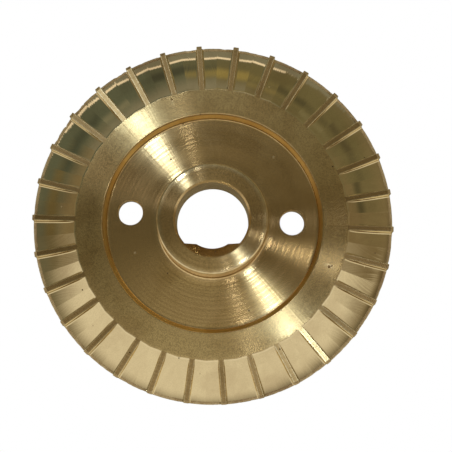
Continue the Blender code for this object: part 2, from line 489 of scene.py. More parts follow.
class HalfSector:
    """Half of one blade and the half-pocket beside it, as far as one pass of the cutter reaches.

    The columns begin on the blade's flat top. TOP_EDGE, BEVEL_FOOT and WALL_TOP number the columns at the
    top's edge, at the foot of its bevel and at the top of the wall. The floor's first is floor_column.
    """

    TOP_EDGE = 2
    BEVEL_FOOT = 3
    WALL_TOP = 4

    def __init__(self, ring: BladeRing, blade: int, side: Side) -> None:
        """Sets up the local axes: x runs out along the blade and y across it, into the pocket.

        Args:
            ring: The ring that the half-sector is part of.
            blade: The blade's number.
            side: The side of the blade.
        """
        sizes = ring.sizes
        angle = math.radians(sizes.first_blade_deg) + blade * sizes.pitch
        self.ring = ring
        self.sizes = sizes
        self.edges = ring.edges
        self.blade = blade
        self.side = side
        self.center = Vector(sizes.index_center)
        self.x_axis = Vector((math.cos(angle), math.sin(angle)))
        self.y_axis = Vector((-math.sin(angle), math.cos(angle))) * side.value
        self.half_width = sizes.blade_thickness / 2
        self.slope = math.tan(sizes.pitch / 2)
        self.floor_column = self.WALL_TOP + ring.fillet_steps
        self.columns = self.lines()
        self.milled = {front: ring.cutter_pass(blade, side, front) for front in (True, False)}
        self.other = {front: ring.cutter_pass(*self.neighbour(), front) for front in (True, False)}

    def lines(self) -> list[tuple[float, float]]:
        """Lists the columns.

        Returns:
            Each column as (a, b), where y = a + b x. The last is the pocket's middle.
        """
        half = self.half_width
        start = half + self.edges.floor_fillet
        guard = self.edges.pass_step
        top = [(0.0, 0.0), (half / 2, 0.0), (half, 0.0)]
        wall = [(half, 0.0)] * 2 + [(start, 0.0)] * self.ring.fillet_steps
        floor = [(start + guard, 0.0)]
        floor += [(start * (1 - u), self.slope * u) for u in self.ring.floor_columns]
        ridge = [(-2 * guard, self.slope), (-guard, self.slope), (0.0, self.slope)]
        return top + wall + floor + ridge

    def place(self, x: float, y: float) -> Vector:
        """Returns the point of the wheel at the local x and y."""
        return self.center + self.x_axis * x + self.y_axis * y

    def reach(self, line: tuple[float, float], radius: float) -> float:
        """Works out where a column meets a circle about the wheel's axis.

        Args:
            line: The column.
            radius: The circle's radius.

        Returns:
            The value of x there.
        """
        start = self.center + self.y_axis * line[0]
        along = self.x_axis + self.y_axis * line[1]
        return self.ring.outline_x(start, along, radius)

    def neighbour(self) -> tuple[int, Side]:
        """Finds the other half of this pocket.

        Returns:
            Its blade and side.
        """
        count = self.sizes.blade_count
        if self.side is Side.LEFT:
            return (self.blade + 1) % count, Side.RIGHT
        return (self.blade - 1) % count, Side.LEFT

    def row_places(self) -> list[tuple[Row, float]]:
        """Lists the rows, from the lip outwards.

        Returns:
            Each row's kind and its value: a share of the face or of the floor, or an offset from the root.
        """
        ring = self.ring
        rows = [(Row.FACE, share) for share in ring.face_rows]
        rows += [(Row.ROOT, offset) for offset in ring.crest_rows]
        rows += [(Row.FLOOR, (step + 1) / ring.floor_rows) for step in range(ring.floor_rows)]
        rows.insert(-1, (Row.FLOOR, 1.0 - ring.last_share / ring.floor_rows))
        return rows + [(Row.EDGE, 0.0), (Row.RIM, 0.0)]

    def column_x(self, kind: Row, value: float, column: int, line: tuple[float, float]) -> float:
        """Works out the x of one point.

        Args:
            kind: The row's kind, from row_places.
            value: The row's value.
            column: The column's number.
            line: The column's line.

        Returns:
            The distance along the blade, in millimetres.
        """
        sizes, edges = self.sizes, self.edges
        if kind is Row.FACE:
            inner = self.reach(line, sizes.recess_radius + edges.lip)
            return inner + (sizes.root_radius + self.ring.crest_rows[0] - inner) * value
        if kind is Row.ROOT:
            return sizes.root_radius + value
        if kind is Row.FLOOR:
            inner = sizes.root_radius + self.ring.crest_rows[-1]
            return inner + (self.reach(line, sizes.radius - edges.tip_chamfer) - inner) * value
        if kind is Row.RIM:
            return self.reach(line, sizes.radius)
        inset = edges.tip_side if column <= self.WALL_TOP else edges.web_edge
        return self.reach(line, sizes.radius - inset)

    def section(self, kind: Row, column: int, x: float, y: float, front: bool) -> tuple[float, float]:
        """Works out the blade's and the pocket's cross-section at one point.

        Args:
            kind: The row's kind.
            column: The column's number.
            x: The distance along the blade.
            y: The column's plain distance from the blade's middle.
            front: Whether the point is on the front.

        Returns:
            The point's y, and how far it lies below the ring's face.
        """
        edges, rim = self.edges, kind is Row.RIM
        depth = self.pocket_depth(column, x, front)
        chamfer = {Row.EDGE: edges.tip_chamfer - edges.tip_side, Row.RIM: edges.tip_chamfer}.get(kind, 0.0)
        inset = edges.tip_side if rim else 0.0
        bevel = min(edges.blade_edge, edges.shallow_share * depth)
        if column < self.TOP_EDGE:
            return y, chamfer
        if column == self.TOP_EDGE:
            return self.half_width - max(bevel, inset), chamfer
        if column == self.BEVEL_FOOT:
            return self.half_width - inset, chamfer if rim else chamfer + bevel
        if column < self.floor_column:
            fillet = min(edges.floor_fillet, edges.shallow_share * depth)
            turn = (column - self.WALL_TOP) / self.ring.fillet_steps * math.pi / 2
            drop = depth - fillet * (1 - math.sin(turn))
            drop += edges.web_edge * math.sin(turn) if rim else 0.0
            return self.half_width - inset + fillet * (1 - math.cos(turn)), drop
        if rim:
            return y, depth + edges.web_edge
        if kind is Row.FLOOR and column < len(self.columns) - 1:
            return y, depth + self.ring.waves(x, y, self.milled[front])
        return y, depth

    def pocket_depth(self, column: int, x: float, front: bool) -> float:
        """Works out the pocket's depth, which is the mean of the two passes on the pocket's middle.

        Args:
            column: The column's number.
            x: The distance along the blade.
            front: Whether the pocket is on the front.

        Returns:
            The depth in millimetres.
        """
        depth = self.ring.depth(x, self.milled[front])
        if column < len(self.columns) - 1:
            return depth
        return (depth + self.ring.depth(x, self.other[front])) / 2

    def worn(self, kind: Row, value: float, column: int, x: float, front: bool) -> float:
        """Works out how rubbed one point is.

        Args:
            kind: The row's kind.
            value: The row's value.
            column: The column's number.
            x: The distance along the blade.
            front: Whether the point is on the front.

        Returns:
            The wear, from 0 to 1.
        """
        if kind in (Row.EDGE, Row.RIM):
            return self.ring.edge_wear
        if column in (self.TOP_EDGE, self.BEVEL_FOOT):
            return 1.0 if self.pocket_depth(column, x, front) > self.ring.worn_depth else 0.0
        if kind is Row.ROOT and column > self.WALL_TOP:
            return 1.0 - abs(value) / self.ring.crest_rows[-1]
        return 0.0

    def point(self, kind: Row, value: float, column: int, front: bool) -> tuple[Point, Point, float]:
        """Works out one point of a face, its place on the tool's path and its wear.

        Args:
            kind: The row's kind.
            value: The row's value.
            column: The column's number.
            front: Whether the point is on the front.

        Returns:
            The point, the path and the wear.
        """
        line = self.columns[column]
        # The flat face has no bevel and no fillet, so their columns run together there.
        folded = kind is Row.FACE and self.BEVEL_FOOT <= column < self.floor_column
        x = self.column_x(kind, value, column, self.columns[self.BEVEL_FOOT] if folded else line)
        y, drop = self.section(kind, column, x, line[0] + line[1] * x, front)
        place = self.place(x, y)
        if column > self.WALL_TOP and kind in (Row.EDGE, Row.RIM):
            place, drop = self.ring.burrs.move(place, drop, kind, front)
        z = self.sizes.ring_thickness - drop if front else drop
        seed = float(self.blade * 2 + (self.side is Side.LEFT) + (0 if front else 100))
        return (place.x, place.y, z), (x, y + drop, seed), self.worn(kind, value, column, x, front)

    def strip_finishes(self, number: int, strips: int) -> list[Finish]:
        """Lists the finishes across one strip of a face.

        Args:
            number: The strip's number, from the lip outwards.
            strips: How many strips the face has.

        Returns:
            The finish of each quad, from the blade's middle to the pocket's.
        """
        count = len(self.columns) - 1
        if number <= len(self.ring.face_rows):
            return [Finish.RING] * count
        if number >= strips - BROKEN_STRIPS:
            walls = [Finish.MILLED] * (self.floor_column - self.TOP_EDGE)
            return [Finish.BROKEN] * self.TOP_EDGE + walls + [Finish.BROKEN] * (count - self.floor_column)
        land = Finish.RING if self.blade in self.ring.bright_blades else Finish.LAND
        return [land] * self.BEVEL_FOOT + [Finish.MILLED] * (count - self.BEVEL_FOOT)

    def add_face(self, sketch: Sketch, front: bool) -> list[list[int]]:
        """Adds the half-sector's front or back.

        Args:
            sketch: The mesh under construction.
            front: Whether this is the front.

        Returns:
            The rows of points, from the lip out to the rim.
        """
        rows = []
        for kind, value in self.row_places():
            made = [self.point(kind, value, column, front) for column in range(len(self.columns))]
            points, paths, wear = (list(part) for part in zip(*made))
            rows.append(sketch.add_points(points, paths, wear))
        flip = (self.side is Side.RIGHT) == front
        for number, (first, second) in enumerate(zip(rows, rows[1:])):
            sketch.add_strip(first, second, self.strip_finishes(number, len(rows) - 1), flip)
        return rows

    def add_rim(self, sketch: Sketch, front: list[int], back: list[int]) -> None:
        """Adds the blade's end face and the web's rim, between the two faces' outermost rows.

        Args:
            sketch: The mesh under construction.
            front: The front's outermost row.
            back: The back's outermost row.
        """
        flip = self.side is Side.LEFT
        high_row = self.add_end(sketch, front, self.sizes.ring_thickness - self.end_depth, flip)
        low_row = self.add_end(sketch, back, self.end_depth, not flip)
        rows = [high_row]
        for share in self.ring.rim_levels:
            points, paths = [], []
            for high, low in zip(high_row, low_row):
                x, y, z = (a + (b - a) * share for a, b in zip(sketch.points[high], sketch.points[low]))
                dent = 0.0
                if high in front[self.WALL_TOP + 1 :]:
                    scale = self.ring.dent_scale
                    dent = self.ring.dents * max(0.0, wobble(x * scale, y * scale, share * 3.0, 5.0))
                points.append((x * (1.0 - dent), y * (1.0 - dent), z))
                paths.append(sketch.paths[high])
            rows.append(sketch.add_points(points, paths, [self.ring.rim_wear] * len(points)))
        rows.append(low_row)
        for first, second in zip(rows, rows[1:]):
            sketch.add_strip(first, second, [Finish.BORED] * (len(first) - 1), flip)

    def add_end(self, sketch: Sketch, row: list[int], middle_z: float, flip: bool) -> list[int]:
        """Adds the part of the blade's end face that stands out past the web, on one side of the wheel.

        Args:
            sketch: The mesh under construction.
            row: The face's outermost row.
            middle_z: The height at which the end face's middle meets the web.
            flip: Whether the quads face the other way.

        Returns:
            The row of points at the web's level.
        """
        top = row[: self.TOP_EDGE]
        x, y, _ = zip(*(sketch.points[corner] for corner in top))
        wall_z = sketch.points[row[self.WALL_TOP]][2]
        points = [(x[0], y[0], middle_z), (x[1], y[1], wall_z)]
        added = sketch.add_points(points, [sketch.paths[corner] for corner in top], [0.0, 0.0])
        ends = row[: self.TOP_EDGE + 1]
        sketch.add_strip(ends, added + [row[self.WALL_TOP]], [Finish.TURNED] * self.TOP_EDGE, flip)
        return added + row[self.WALL_TOP :]

    @property
    def end_depth(self) -> float:
        """How far below the face the end face's middle meets the web."""
        return self.sizes.pocket_depth - self.edges.floor_fillet


def arc(
    center: tuple[float, float], radius: float, start: float, turn: float, steps: int, worn: float = 0.0
) -> list[Point]:
    """Returns an arc about a centre (radius, height), in radians, as points of (radius, height, wear)."""
    angles = [start + step / steps * turn for step in range(steps + 1)]
    return [(center[0] + radius * math.cos(a), center[1] + radius * math.sin(a), worn) for a in angles]


@dataclass
class TurnedDisc:
    """The turned part inside the blade ring: recesses, web, boss and a rough hole that the bore replaces.

    Narrow rows, the guards, keep the smooth shading of the edges off the flat faces beside them.
    """

    sizes: WheelSizes
    edges: EdgeSizes
    rough_hole: float = 3.0
    fillet_steps: int = 5
    edge_steps: int = 6
    lip_wear: float = 0.3
    lip_bend: tuple[float, float] = (0.3, 0.25)
    boss_wear: float = 0.7
    wall_shares: tuple[float, ...] = (0.35, 0.65)
    side_shares: tuple[float, ...] = (0.33, 0.66)
    floor_guards: tuple[float, ...] = (23.1, 21.4, 14.9, 14.2)
    boss_guards: tuple[float, ...] = (10.8, 9.2)
    back_guards: tuple[float, ...] = (23.1, 9.2)

    @property
    def wall_strips(self) -> range:
        """The numbers of the strips on a recess's wall, which follow the lip's two."""
        return range(2, 3 + len(self.wall_shares))

    def front_profile(self) -> list[Point]:
        """Works out the front's outline.

        Returns:
            The outline as (radius, height, wear), from the lip inwards.
        """
        sizes, quarter = self.sizes, math.pi / 2
        floor = sizes.ring_thickness - sizes.recess_depth
        low, high = floor + sizes.boss_fillet, sizes.boss_z - sizes.boss_chamfer
        foot = (sizes.boss_radius + sizes.boss_fillet, low)
        shoulder = (sizes.boss_radius - sizes.boss_chamfer, high)
        outline = self.recess_profile(sizes.ring_thickness, -1.0)
        outline += [(radius, floor, 0.0) for radius in self.floor_guards]
        outline += arc(foot, sizes.boss_fillet, -quarter, -quarter, self.fillet_steps)
        outline += [(sizes.boss_radius, low + (high - low) * share, 0.0) for share in self.side_shares]
        outline += arc(shoulder, sizes.boss_chamfer, 0.0, quarter, self.edge_steps, self.boss_wear)
        return outline + [(radius, sizes.boss_z, 0.0) for radius in (*self.boss_guards, self.rough_hole)]

    def recess_profile(self, top: float, inward: float) -> list[Point]:
        """Works out the lip, wall and foot of a recess.

        Args:
            top: The height of the ring's face.
            inward: -1 where the recess goes down from the face, 1 where it goes up.

        Returns:
            The outline as (radius, height, wear), from the lip inwards.
        """
        sizes, lip, foot = self.sizes, self.edges.lip, self.edges.foot
        slope = (sizes.recess_radius - sizes.recess_floor_radius) / sizes.recess_depth
        outline = [
            (sizes.recess_radius + lip, top, self.lip_wear),
            (sizes.recess_radius + lip * self.lip_bend[0], top + inward * lip * self.lip_bend[1], 1.0),
            (sizes.recess_radius - lip * slope, top + inward * lip, 1.0),
        ]
        for share in self.wall_shares:
            down = sizes.recess_depth * share
            outline.append((sizes.recess_radius - slope * down, top + inward * down, 0.0))
        center = (sizes.recess_floor_radius - foot, top + inward * sizes.recess_depth - inward * foot)
        return outline + arc(center, foot, 0.0, inward * math.pi / 2, self.fillet_steps)

    def back_profile(self) -> list[Point]:
        """Returns the back's outline as (radius, height, wear), from the lip inwards."""
        radii = (*self.back_guards, self.rough_hole)
        return self.recess_profile(0.0, 1.0) + [(radius, self.sizes.recess_depth, 0.0) for radius in radii]

    def build(self, sketch: Sketch, front_lip: list[int], back_lip: list[int]) -> None:
        """Adds the disc to the sketch, joined to the blade ring.

        Args:
            sketch: The mesh under construction.
            front_lip: The points of the front's lip circle, going round.
            back_lip: The points of the back's.
        """
        inner = []
        sides = ((front_lip, self.front_profile(), True), (back_lip, self.back_profile(), False))
        for lip, profile, flip in sides:
            rows = [lip + lip[:1]]
            turns = [Vector(sketch.points[index][:2]).normalized() for index in rows[0]]
            for radius, height, worn in profile[1:]:
                points = [(turn.x * radius, turn.y * radius, height) for turn in turns]
                paths = [(0.0, radius + height, 0.0)] * len(points)
                rows.append(sketch.add_points(points, paths, [worn] * len(points)))
            for number, (first, second) in enumerate(zip(rows, rows[1:])):
                # The recess walls take the wall finish, whose lighter colour is a painted reflection.
                finish = Finish.WALL if number in self.wall_strips else Finish.TURNED
                sketch.add_strip(first, second, [finish] * (len(first) - 1), flip)
            inner.append(rows[-1])
        sketch.add_strip(inner[0], inner[1], [Finish.BORED] * (len(inner[0]) - 1), True)


@dataclass
class Bore:
    """The holes: the flatted bore over its drilled hole, the countersunk mouths and the balance holes.

    Attributes:
        balance_holes: Each balance hole's distance from the axis and angle round it in degrees.
        pits: The casting pits in the ring's front face, each as x, y and its radius at the face.
        pit_foot: A pit's radius at its bottom, as a share of that at the face.
        step_start: How far the first point of a cutter's circles is turned, in steps.
        overcut: How far a cutter reaches past the face that it cuts.
    """

    sizes: WheelSizes
    edges: EdgeSizes
    radius: float = 7.95
    flat: float = 5.3
    pilot_radius: float = 6.3
    mouth_radius: float = 8.4
    mouth_depth: float = 3.4
    back_mouth_depth: float = 1.0
    balance_radius: float = 2.75
    balance_holes: tuple[tuple[float, float], ...] = ((17.7, 0.3), (18.5, 172.5))
    pits: tuple[Point, ...] = ((25.6, -9.9, 0.34), (26.2, -9.7, 0.2), (-9.1, 27.6, 0.2))
    pit_foot: float = 0.4
    steps: int = 128
    step_start: float = 0.37
    overcut: float = 1.0

    def turned_cutter(self, name: str, rings: list[tuple[float, float]], finish: Finish) -> bpy.types.Object:
        """Makes a closed turned cutter from its outline.

        Args:
            name: The object's name.
            rings: The outline as (radius, height), from the lowest ring to the highest.
            finish: The finish that the cut faces get.

        Returns:
            The cutter, as an object that isn't rendered.
        """
        sketch = Sketch()
        rows = []
        for radius, height in rings:
            angles = [math.tau * (step + self.step_start) / self.steps for step in range(self.steps)]
            points = [(radius * math.cos(a), radius * math.sin(a), height) for a in angles]
            paths = [(0.0, radius + height, 0.0)] * self.steps
            row = sketch.add_points(points, paths, [0.0] * self.steps)
            rows.append(row + row[:1])
        for first, second in zip(rows, rows[1:]):
            sketch.add_strip(first, second, [finish] * self.steps)
        sketch.add_face(tuple(rows[0][:-1]), finish)
        sketch.add_face(tuple(rows[-1][:-1]), finish)
        item = sketch.build(name)
        item.hide_render = True
        return item

    def bore_cutter(self) -> bpy.types.Object:
        """Makes the round bore's shape with its one flat, on the side of -Y.

        Returns:
            The cutter.
        """
        rings = [(self.radius, -self.overcut), (self.radius, self.sizes.boss_z + self.overcut)]
        bore = self.turned_cutter("bore_cutter", rings, Finish.BORED)
        bm = bmesh.new()
        bm.from_mesh(bore.data)
        whole = [*bm.verts, *bm.edges, *bm.faces]
        plane = {"plane_co": (0.0, -self.flat * MM, 0.0), "plane_no": (0.0, -1.0, 0.0)}
        cut = bmesh.ops.bisect_plane(bm, geom=whole, clear_outer=True, **plane)
        edges = [item for item in cut["geom_cut"] if isinstance(item, bmesh.types.BMEdge)]
        flat = bmesh.ops.contextual_create(bm, geom=edges)
        for face in flat["faces"]:
            face.material_index = Finish.BORED.value
        bmesh.ops.recalc_face_normals(bm, faces=bm.faces)
        bm.to_mesh(bore.data)
        bm.free()
        return bore

    def balance_cutter(self, number: int, distance: float, angle_deg: float) -> bpy.types.Object:
        """Makes a balance hole's cutter, flared where it meets the two recess floors.

        Args:
            number: The hole's number.
            distance: Its distance from the axis.
            angle_deg: Its angle round the axis.

        Returns:
            The cutter.
        """
        flare, radius, over = self.edges.hole_flare, self.balance_radius, self.overcut
        low = self.sizes.recess_depth
        high = self.sizes.ring_thickness - self.sizes.recess_depth
        rings = [
            (radius + flare + over, low - over),
            (radius + flare, low),
            (radius, low + flare),
            (radius, high - flare),
            (radius + flare, high),
            (radius + flare + over, high + over),
        ]
        hole = self.turned_cutter(f"balance_cutter_{number}", rings, Finish.BORED)
        angle = math.radians(angle_deg)
        place = Vector((math.cos(angle), math.sin(angle), 0.0)) * distance * MM
        hole.data.transform(Matrix.Translation(place))
        return hole

    def pit_cutter(self, number: int, x: float, y: float, radius: float) -> bpy.types.Object:
        """Makes the cutter of one small casting pit in the ring's front face.

        Args:
            number: The pit's number.
            x: Its place along X.
            y: Its place along Y.
            radius: Its radius at the face.

        Returns:
            The cutter.
        """
        face = self.sizes.ring_thickness
        rings = [(self.pit_foot * radius, face - radius), (radius, face), (2 * radius, face + radius)]
        pit = self.turned_cutter(f"pit_cutter_{number}", rings, Finish.BROKEN)
        pit.data.transform(Matrix.Translation(Vector((x, y, 0.0)) * MM))
        return pit

    def cutters(self) -> list[bpy.types.Object]:
        """Makes every cutter.

        Returns:
            The cutters, in the order in which they cut.
        """
        over, top, back = self.overcut, self.sizes.boss_z, self.sizes.recess_depth
        mouth, front_depth, back_depth = self.mouth_radius, self.mouth_depth, self.back_mouth_depth
        pilot = [(self.pilot_radius, -over), (self.pilot_radius, top + over)]
        front_mouth = [(mouth - front_depth, top - front_depth), (mouth, top), (mouth + over, top + over)]
        back_mouth = [(mouth + over, back - over), (mouth, back), (mouth - back_depth, back + back_depth)]
        made = [
            self.bore_cutter(),
            self.turned_cutter("pilot_cutter", pilot, Finish.BORED),
            self.turned_cutter("front_mouth_cutter", front_mouth, Finish.TURNED),
            self.turned_cutter("back_mouth_cutter", back_mouth, Finish.TURNED),
        ]
        made += [self.balance_cutter(number, *hole) for number, hole in enumerate(self.balance_holes, 1)]
        return made + [self.pit_cutter(number, *pit) for number, pit in enumerate(self.pits, 1)]

    def cut(self, wheel: bpy.types.Object) -> None:
        """Takes the cutters out of the wheel and removes them.

        Args:
            wheel: The wheel, whose mesh is replaced by the cut one.
        """
        tools = self.cutters()
        for tool in tools:
            for material in wheel.data.materials:
                tool.data.materials.append(material)
            step = wheel.modifiers.new(tool.name, "BOOLEAN")
            step.operation = "DIFFERENCE"
            step.solver = "EXACT"
            step.object = tool
            step.material_mode = "INDEX"
        depsgraph = bpy.context.evaluated_depsgraph_get()
        rough = wheel.data
        done = bpy.data.meshes.new_from_object(wheel.evaluated_get(depsgraph), depsgraph=depsgraph)
        wheel.modifiers.clear()
        wheel.data = done
        done.name = wheel.name
        bpy.data.meshes.remove(rough)
        for tool in tools:
            mesh = tool.data
            bpy.data.objects.remove(tool)
            bpy.data.meshes.remove(mesh)


# Shader nodes


class Graph:
    """Adds nodes to one node tree and joins them."""

    def __init__(self, tree: bpy.types.NodeTree) -> None:
        """Takes the tree to build in."""
        self.tree = tree

    def add(self, kind: str, **settings: object) -> bpy.types.Node:
        """Adds a node.

        Args:
            kind: The node's type.
            settings: Properties to set on it.

        Returns:
            The node.
        """
        node = self.tree.nodes.new(kind)
        for name, value in settings.items():
            setattr(node, name, value)
        return node

    def feed(self, socket: bpy.types.NodeSocket, value: object) -> None:
        """Links a socket to another, or sets its own value.

        Args:
            socket: The socket that takes the value.
            value: Another node's socket, or a plain value.
        """
        if isinstance(value, bpy.types.NodeSocket):
            self.tree.links.new(value, socket)
        else:
            socket.default_value = value

    def math(
        self, operation: str, first: object, second: object = 0.0, third: object = 0.0
    ) -> bpy.types.NodeSocket:
        """Adds a Math node.

        Args:
            operation: What it works out.
            first: Its first value or socket.
            second: Its second one.
            third: Its third one.

        Returns:
            The result's socket.
        """
        node = self.add("ShaderNodeMath", operation=operation)
        for socket, value in zip(node.inputs, (first, second, third)):
            self.feed(socket, value)
        return node.outputs[0]

    def combine(self, x: object, y: object, z: object) -> bpy.types.NodeSocket:
        """Adds a Combine XYZ node.

        Args:
            x: Its first value or socket.
            y: Its second one.
            z: Its third one.

        Returns:
            The vector's socket.
        """
        node = self.add("ShaderNodeCombineXYZ")
        for socket, value in zip(node.inputs, (x, y, z)):
            self.feed(socket, value)
        return node.outputs[0]

    def split(self, vector: object) -> list[bpy.types.NodeSocket]:
        """Adds a Separate XYZ node.

        Args:
            vector: The vector to take apart.

        Returns:
            Its three sockets.
        """
        node = self.add("ShaderNodeSeparateXYZ")
        self.feed(node.inputs[0], vector)
        return list(node.outputs)

    def noise(
        self, vector: object, scale: object, detail: float, rough: float = 0.5
    ) -> bpy.types.NodeSocket:
        """Adds a Noise Texture.

        Args:
            vector: Where it is read.
            scale: How fine it is.
            detail: How many finer layers it has.
            rough: How strong the finer layers are.

        Returns:
            The noise's value, from 0 to 1.
        """
        node = self.add("ShaderNodeTexNoise")
        self.feed(node.inputs["Vector"], vector)
        self.feed(node.inputs["Scale"], scale)
        node.inputs["Detail"].default_value = detail
        node.inputs["Roughness"].default_value = rough
        return node.outputs[0]

    def rescale(
        self, value: object, low: float, high: float, to_low: float, to_high: float
    ) -> bpy.types.NodeSocket:
        """Maps a range of values onto another, smoothly and within its ends.

        Args:
            value: The value to map.
            low: The range's start.
            high: Its end.
            to_low: The result at the start.
            to_high: The result at the end.

        Returns:
            The result's socket.
        """
        node = self.add("ShaderNodeMapRange", interpolation_type="SMOOTHSTEP")
        for socket, entry in zip(node.inputs, (value, low, high, to_low, to_high)):
            self.feed(socket, entry)
        return node.outputs[0]

    def mix(self, factor: object, first: object, second: object) -> bpy.types.NodeSocket:
        """Adds a colour Mix node.

        Args:
            factor: How much of the second colour there is.
            first: The first colour.
            second: The second colour.

        Returns:
            The mixed colour's socket.
        """
        node = self.add("ShaderNodeMix", data_type="RGBA", clamp_factor=True)
        self.feed(node.inputs[0], factor)
        self.feed(node.inputs[6], first)
        self.feed(node.inputs[7], second)
        return node.outputs[2]


def new_material(name: str) -> tuple[bpy.types.Material, Graph, bpy.types.Node]:
    """Adds a material.

    Args:
        name: Its name.

    Returns:
        The material, its graph and its main shader.
    """
    material = bpy.data.materials.new(name)
    material.use_nodes = True
    return material, Graph(material.node_tree), material.node_tree.nodes["Principled BSDF"]


class Effect(Enum):
    """The shader effects that several finishes share."""

    TOOL_MARKS = "tool marks"
    CHATTER = "chatter"
    BLOTCHES = "blotches"
    SPECKS = "specks"
    WORN_EDGE = "worn edge"


class EffectLibrary:
    """Builds each shared effect once, as a shader node group, and hands it out.

    BROAD_SHARE and RAY_DRIFT slow a noise down along one axis. CLOUD, DOT and RUB are the ranges over
    which a noise turns into a mask, and LEAST_RUB is the wear that an edge keeps where it is rubbed least.
    """

    BROAD_SHARE = 0.16
    RAY_DRIFT = 0.02
    CLOUD = (0.42, 0.62)
    DOT = (0.18, 0.34)
    RUB = (0.35, 0.6)
    LEAST_RUB = 0.35

    def __init__(self) -> None:
        """Builds the groups."""
        self.groups: dict[Effect, bpy.types.NodeTree] = {
            Effect.TOOL_MARKS: self.tool_marks(),
            Effect.CHATTER: self.chatter(),
            Effect.BLOTCHES: self.blotches(),
            Effect.SPECKS: self.specks(),
            Effect.WORN_EDGE: self.worn_edge(),
        }

    @staticmethod
    def start(
        effect: Effect, inputs: dict[str, float | None], outputs: tuple[str, ...]
    ) -> tuple[Graph, bpy.types.Node, bpy.types.Node]:
        """Starts a group.

        Args:
            effect: The effect, which gives the group's name.
            inputs: The inputs' names and starting values. None makes a vector input.
            outputs: The outputs' names.

        Returns:
            The group's graph, its input node and its output node.
        """
        tree = bpy.data.node_groups.new(effect.value, "ShaderNodeTree")
        for name, value in inputs.items():
            kind = "NodeSocketVector" if value is None else "NodeSocketFloat"
            socket = tree.interface.new_socket(name=name, in_out="INPUT", socket_type=kind)
            if value is not None:
                socket.default_value = value
        for name in outputs:
            tree.interface.new_socket(name=name, in_out="OUTPUT", socket_type="NodeSocketFloat")
        graph = Graph(tree)
        return graph, graph.add("NodeGroupInput"), graph.add("NodeGroupOutput")

    def tool_marks(self) -> bpy.types.NodeTree:
        """Builds long fine grooves that follow the tool's path, with a Height and a broader Streak.

        Returns:
            The group's node tree.
        """
        inputs = {"Along": 0.0, "Across": 0.0, "Seed": 0.0, "Pitch": 0.2, "Length": 20.0}
        graph, given, result = self.start(Effect.TOOL_MARKS, inputs, ("Height", "Streak"))
        along = graph.math("DIVIDE", given.outputs["Along"], given.outputs["Length"])
        across = graph.math("DIVIDE", given.outputs["Across"], given.outputs["Pitch"])
        fine = graph.noise(graph.combine(along, across, given.outputs["Seed"]), 1.0, 0.0, 0.5)
        broad_across = graph.math("MULTIPLY", across, self.BROAD_SHARE)
        broad = graph.noise(graph.combine(along, broad_across, given.outputs["Seed"]), 1.0, 2.0, 0.6)
        graph.feed(result.inputs["Height"], fine)
        graph.feed(result.inputs["Streak"], broad)
        return graph.tree

    def chatter(self) -> bpy.types.NodeTree:
        """Builds faint waves that run across the tool's path, as rays on a turned face.

        Returns:
            The group's node tree.
        """
        inputs = {"Turn": 0.0, "Radius": 0.0, "Seed": 0.0, "Count": 50.0}
        graph, given, result = self.start(Effect.CHATTER, inputs, ("Height",))
        turn, count = given.outputs["Turn"], given.outputs["Count"]
        step_x = graph.math("MULTIPLY", graph.math("COSINE", turn), count)
        step_y = graph.math("MULTIPLY", graph.math("SINE", turn), count)
        drift = graph.math("MULTIPLY_ADD", given.outputs["Radius"], self.RAY_DRIFT, given.outputs["Seed"])
        wave = graph.noise(graph.combine(step_x, step_y, drift), 1.0, 2.0, 0.6)
        grown = graph.math("MULTIPLY", wave, given.outputs["Radius"])
        graph.feed(result.inputs["Height"], graph.math("DIVIDE", grown, given.outputs["Count"]))
        return graph.tree

    def blotches(self) -> bpy.types.NodeTree:
        """Builds a soft cloudy mask, for tarnish and handling marks.

        Returns:
            The group's node tree.
        """
        inputs = {"Position": None, "Scale": 60.0, "Cover": 0.5}
        graph, given, result = self.start(Effect.BLOTCHES, inputs, ("Mask",))
        cloud = graph.noise(given.outputs["Position"], given.outputs["Scale"], 5.0, 0.6)
        shifted = graph.math("ADD", cloud, graph.math("SUBTRACT", given.outputs["Cover"], 0.5))
        graph.feed(result.inputs["Mask"], graph.rescale(shifted, *self.CLOUD, 0.0, 1.0))
        return graph.tree

    def specks(self) -> bpy.types.NodeTree:
        """Builds small scattered dots, for chips and dirt.

        Returns:
            The group's node tree.
        """
        inputs = {"Position": None, "Scale": 900.0, "Rarity": 0.8}
        graph, given, result = self.start(Effect.SPECKS, inputs, ("Mask",))
        cells = graph.add("ShaderNodeTexVoronoi", feature="F1")
        graph.feed(cells.inputs["Vector"], given.outputs["Position"])
        graph.feed(cells.inputs["Scale"], given.outputs["Scale"])
        chance = graph.split(cells.outputs["Color"])[0]
        chosen = graph.math("GREATER_THAN", chance, given.outputs["Rarity"])
        dot = graph.rescale(cells.outputs["Distance"], *self.DOT, 1.0, 0.0)
        graph.feed(result.inputs["Mask"], graph.math("MULTIPLY", chosen, dot))
        return graph.tree

    def worn_edge(self) -> bpy.types.NodeTree:
        """Builds an uneven rubbed line from the edge mask that the mesh carries.

        Returns:
            The group's node tree.
        """
        inputs = {"Edge": 0.0, "Position": None, "Scale": 700.0}
        graph, given, result = self.start(Effect.WORN_EDGE, inputs, ("Mask",))
        broken = graph.noise(given.outputs["Position"], given.outputs["Scale"], 3.0, 0.6)
        uneven = graph.rescale(broken, *self.RUB, self.LEAST_RUB, 1.0)
        graph.feed(result.inputs["Mask"], graph.math("MULTIPLY", given.outputs["Edge"], uneven))
        return graph.tree

    def place(self, graph: Graph, effect: Effect, **values: object) -> bpy.types.Node:
        """Puts an effect into a material.

        Args:
            graph: The material's graph.
            effect: The effect.
            values: The group's inputs, by name.

        Returns:
            The group's node.
        """
        node = graph.add("ShaderNodeGroup", node_tree=self.groups[effect])
        for name, value in values.items():
            graph.feed(node.inputs[name], value)
        return node


class MarkPath(Enum):
    """Which way the tool went: round the axis on the lathe, or along the path that the mesh carries."""

    LATHE = "lathe"
    MILL = "mill"


